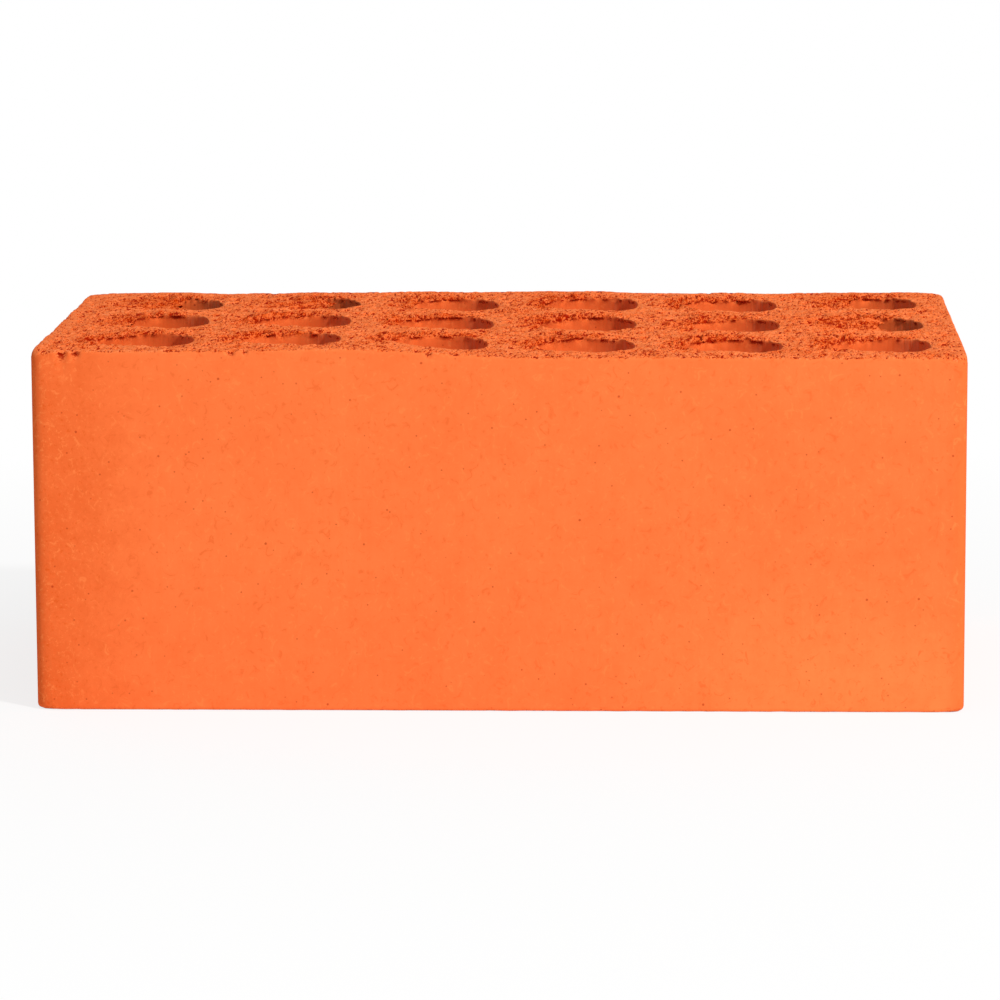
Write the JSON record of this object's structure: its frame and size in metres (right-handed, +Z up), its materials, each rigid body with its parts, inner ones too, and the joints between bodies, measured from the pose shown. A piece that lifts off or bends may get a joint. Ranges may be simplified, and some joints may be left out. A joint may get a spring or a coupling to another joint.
{
  "type": "perforated clay brick",
  "caption": "Fired orange clay wall brick, extruded and wire-cut, with a grid of round vertical cores between flat bed faces for mortar.",
  "frame": {"origin": "centre of the lower bed face", "axes": "+Z up along the cores, +X along the length, +Y across the width, with the stretcher face that the picture shows at -Y"},
  "size_m": [0.23, 0.125, 0.09],
  "materials": {
    "fired_clay": "matt fired orange clay, smooth die skin on the sides, torn wire-cut bed faces"
  },
  "bodies": {
    "root": {"brick": "fired_clay"}
  },
  "joints": []
}
